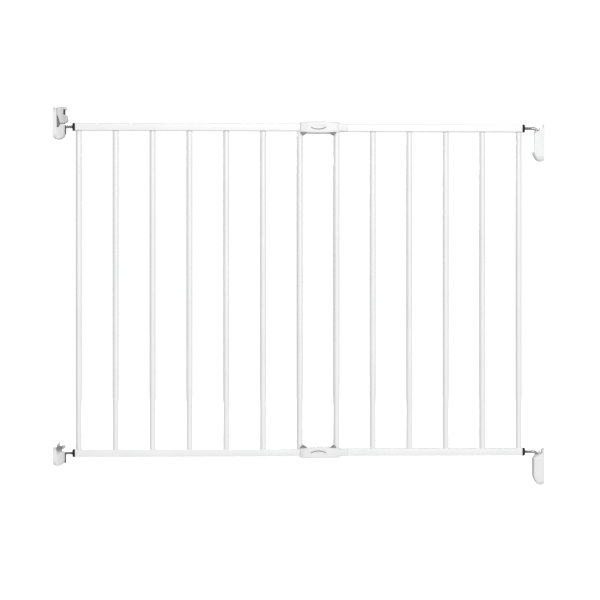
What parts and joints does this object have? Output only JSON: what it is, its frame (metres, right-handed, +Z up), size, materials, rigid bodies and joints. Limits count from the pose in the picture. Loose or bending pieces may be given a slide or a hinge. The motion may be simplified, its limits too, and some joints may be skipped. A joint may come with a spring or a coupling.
{
  "type": "safety baby gate",
  "caption": "Extending wall-fixed safety gate: two sliding barred metal frames joined by couplers, lifted from latch cups and swung on hinge pins.",
  "frame": {"origin": "midway between the two walls, midway between the front and back of the gate, at the foot of the lower hinge bracket", "axes": "+X from the latch wall to the hinge wall, +Y from the front to the back, +Z up"},
  "size_m": [1.037, 0.0426, 0.797],
  "materials": {
    "white_powder_coat": "satin white powder coat",
    "white_plastic": "satin white moulded plastic",
    "nylon": "natural nylon",
    "grey_plastic": "satin grey moulded plastic",
    "black_plastic": "satin black plastic",
    "dark_rubber": "matt dark rubber",
    "zinc_steel": "zinc-plated steel"
  },
  "bodies": {
    "wall_brackets": {"latch_bracket_top": "white_plastic", "latch_bracket_bottom": "white_plastic", "latch_buffer_top": "dark_rubber", "latch_buffer_bottom": "dark_rubber", "hinge_bracket_top": "white_plastic", "hinge_bracket_bottom": "white_plastic", "hinge_cover_top": "white_plastic", "hinge_cover_bottom": "white_plastic", "slider_rail": "grey_plastic", "pin_guard": "grey_plastic"},
    "latch_slider": {"latch_slider": "white_plastic", "slider_grip": "dark_rubber"},
    "hinge_bushes": {"hinge_bush_top": "nylon", "hinge_bush_bottom": "nylon"},
    "hinge_pins": {"hinge_pin_top": "zinc_steel", "hinge_pin_bottom": "zinc_steel"},
    "hinge_frame": {"hinge_bar_1": "white_powder_coat", "hinge_bar_2": "white_powder_coat", "hinge_bar_3": "white_powder_coat", "hinge_bar_4": "white_powder_coat", "hinge_bar_5": "white_powder_coat", "hinge_bar_6": "white_powder_coat", "hinge_bar_7": "white_powder_coat", "hinge_rail_top": "white_powder_coat", "hinge_rail_bottom": "white_powder_coat", "hinge_plug_top": "white_plastic", "hinge_plug_bottom": "white_plastic", "inner_cap_top": "white_plastic", "inner_cap_bottom": "white_plastic"},
    "latch_frame": {"latch_bar_1": "white_powder_coat", "latch_bar_2": "white_powder_coat", "latch_bar_3": "white_powder_coat", "latch_bar_4": "white_powder_coat", "latch_bar_5": "white_powder_coat", "latch_bar_6": "white_powder_coat", "latch_bar_7": "white_powder_coat", "latch_bar_8": "white_powder_coat", "latch_rail_top": "white_powder_coat", "latch_rail_bottom": "white_powder_coat", "latch_plug_top": "white_plastic", "latch_plug_bottom": "white_plastic", "end_guide_top": "white_plastic", "end_guide_bottom": "white_plastic", "coupler_front_top": "white_plastic", "coupler_front_bottom": "white_plastic", "coupler_back_top": "white_plastic", "coupler_back_bottom": "white_plastic", "glide_top": "nylon", "glide_bottom": "nylon", "lock_screw_top": "zinc_steel", "lock_screw_bottom": "zinc_steel", "coupler_screws_top": "zinc_steel", "coupler_screws_bottom": "zinc_steel", "bar_collars": "grey_plastic"},
    "latch_pins": {"latch_pin_top": "zinc_steel", "latch_pin_bottom": "zinc_steel"},
    "latch_nut_top": {"latch_nut_top": "black_plastic"},
    "latch_nut_bottom": {"latch_nut_bottom": "black_plastic"},
    "hinge_nut_top": {"hinge_nut_top": "black_plastic"},
    "hinge_nut_bottom": {"hinge_nut_bottom": "black_plastic"}
  },
  "joints": [
    {"name": "gate_lift", "type": "slide", "parent": "wall_brackets", "child": "hinge_bushes", "axis": [0, 0, 1], "range_m": [0, 0.02]},
    {"name": "slider_lift", "type": "slide", "parent": "wall_brackets", "child": "latch_slider", "axis": [0, 0, 1], "range_m": [0, 0.02]},
    {"name": "gate_swing", "type": "hinge", "parent": "hinge_bushes", "child": "hinge_pins", "pos_m": [0.503, 0.00725, 0.7], "axis": [0, 0, 1], "range_deg": [-90, 87]},
    {"name": "hinge_adjust", "type": "slide", "parent": "hinge_pins", "child": "hinge_frame", "axis": [1, 0, 0], "range_m": [0, 0.008]},
    {"name": "frame_extend", "type": "slide", "parent": "hinge_frame", "child": "latch_frame", "axis": [1, 0, 0], "range_m": [0, 0.365]},
    {"name": "latch_adjust", "type": "slide", "parent": "latch_frame", "child": "latch_pins", "axis": [1, 0, 0], "range_m": [0, 0.01]},
    {"name": "latch_nut_top_spin", "type": "hinge", "parent": "latch_frame", "child": "latch_nut_top", "pos_m": [-0.4756, -0.00725, 0.756], "axis": [1, 0, 0], "continuous": true},
    {"name": "latch_nut_bottom_spin", "type": "hinge", "parent": "latch_frame", "child": "latch_nut_bottom", "pos_m": [-0.4756, -0.00725, 0.07], "axis": [1, 0, 0], "continuous": true},
    {"name": "hinge_nut_top_spin", "type": "hinge", "parent": "hinge_frame", "child": "hinge_nut_top", "pos_m": [0.4756, 0.00725, 0.756], "axis": [1, 0, 0], "continuous": true},
    {"name": "hinge_nut_bottom_spin", "type": "hinge", "parent": "hinge_frame", "child": "hinge_nut_bottom", "pos_m": [0.4756, 0.00725, 0.07], "axis": [1, 0, 0], "continuous": true}
  ],
  "couplings": [
    {"joint": "slider_lift", "follows": "gate_lift", "ratio": 1}
  ]
}
